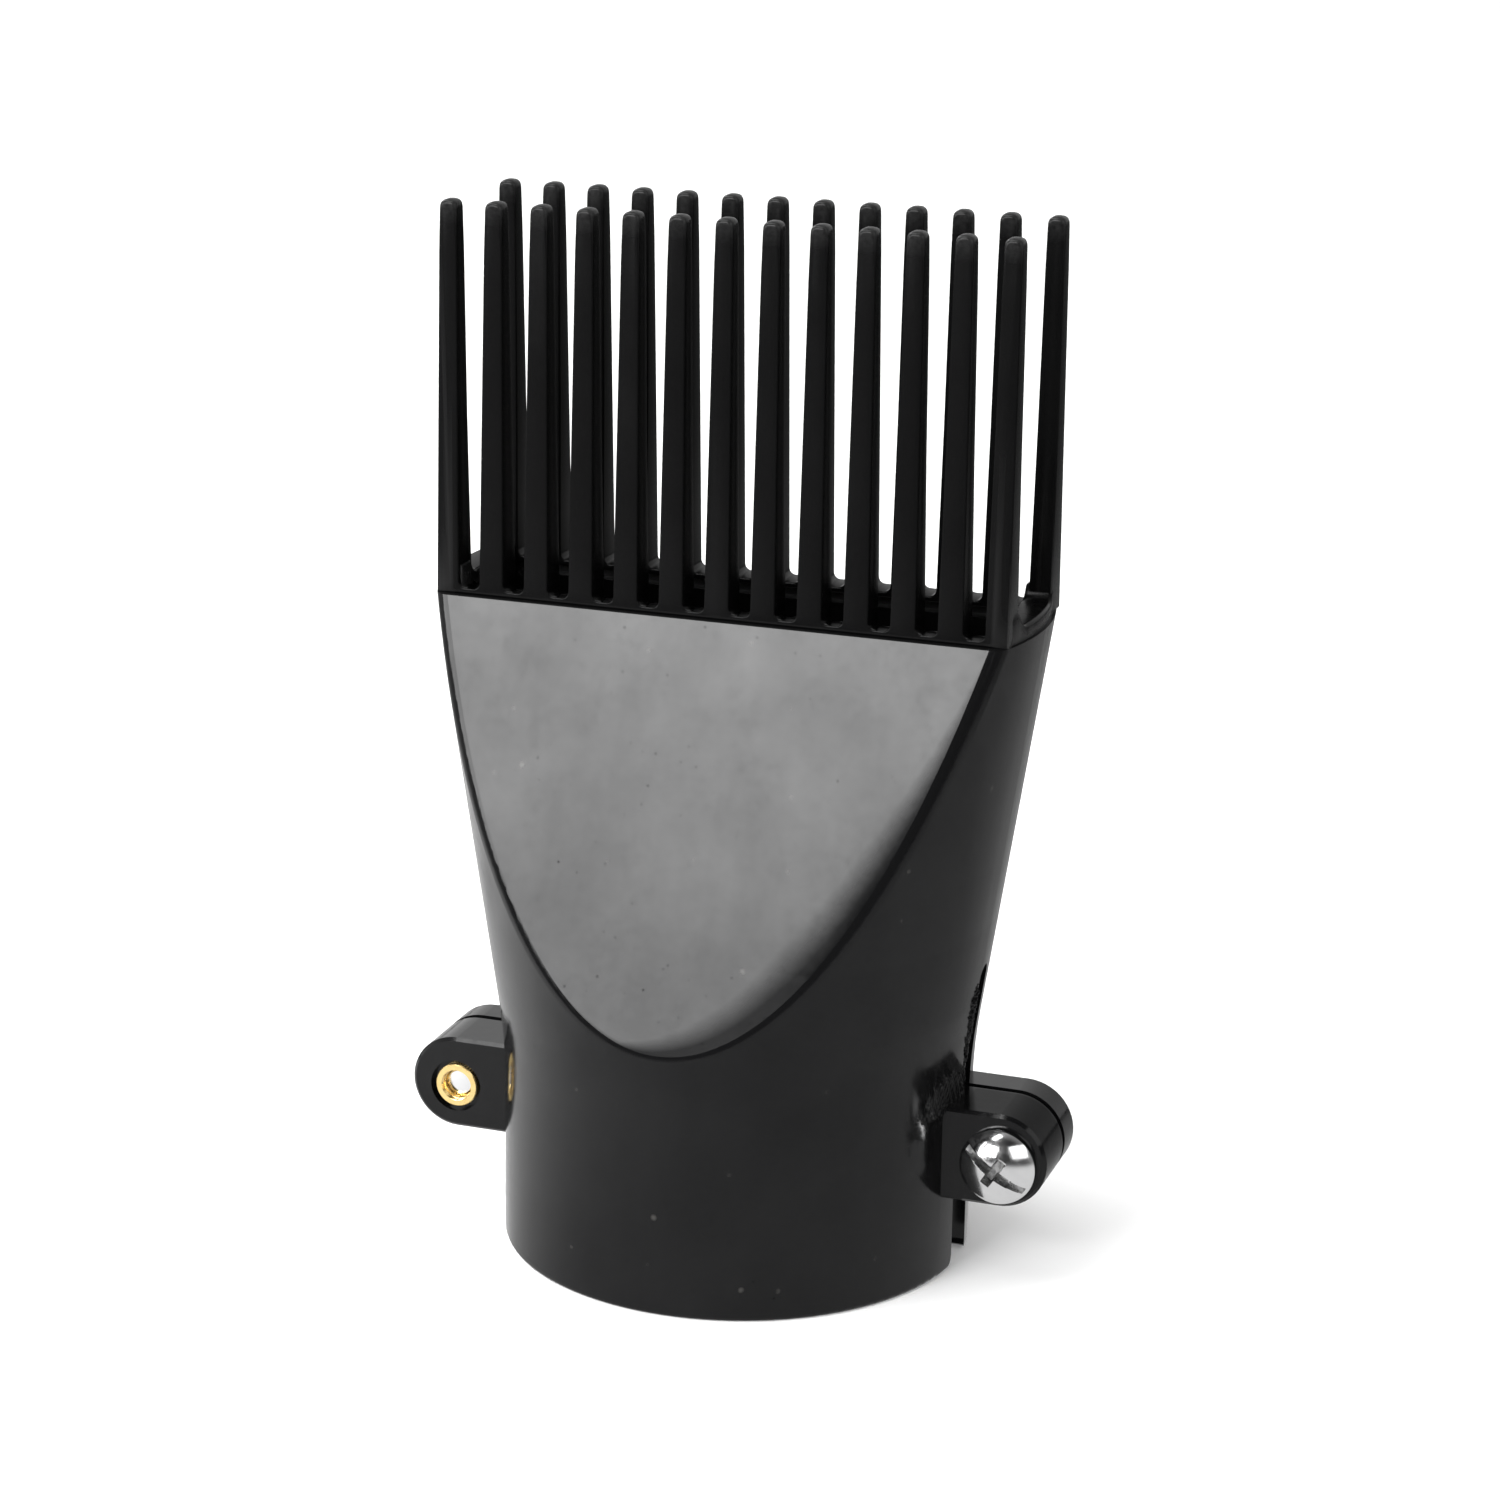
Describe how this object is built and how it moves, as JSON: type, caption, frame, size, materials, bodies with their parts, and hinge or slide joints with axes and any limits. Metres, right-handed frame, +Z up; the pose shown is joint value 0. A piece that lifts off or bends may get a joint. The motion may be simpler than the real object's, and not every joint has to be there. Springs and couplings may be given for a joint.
{
  "type": "hair dryer comb nozzle",
  "caption": "Flared clamp-on hair dryer nozzle with a screw-clamped split collar and two rows of long comb teeth around its mouth.",
  "frame": {"origin": "centre of the collar's open lower rim, on the floor plane", "axes": "+Z up along the collar's axis towards the tooth tips, +X along the tooth rows towards the right-hand clamp lug, -Y towards the front panel"},
  "size_m": [0.0712, 0.0518, 0.1105],
  "materials": {
    "gloss_black_plastic": "polished moulded black",
    "satin_black_plastic": "satin moulded black",
    "chrome": "bright chrome plate",
    "brass": "turned brass"
  },
  "bodies": {
    "nozzle": {"front_shell": "gloss_black_plastic", "rear_shell": "gloss_black_plastic", "comb": "satin_black_plastic", "left_insert": "brass", "right_insert": "brass"},
    "left_clamp_screw": {"left_screw": "chrome"},
    "right_clamp_screw": {"right_screw": "chrome"}
  },
  "joints": [
    {"name": "left_screw_turn", "type": "hinge", "parent": "nozzle", "child": "left_clamp_screw", "pos_m": [-0.03055, 0, 0.0137], "axis": [0, 1, 0], "range_deg": [-180, 180]},
    {"name": "right_screw_turn", "type": "hinge", "parent": "nozzle", "child": "right_clamp_screw", "pos_m": [0.03055, 0, 0.0137], "axis": [0, -1, 0], "range_deg": [-180, 180]}
  ]
}
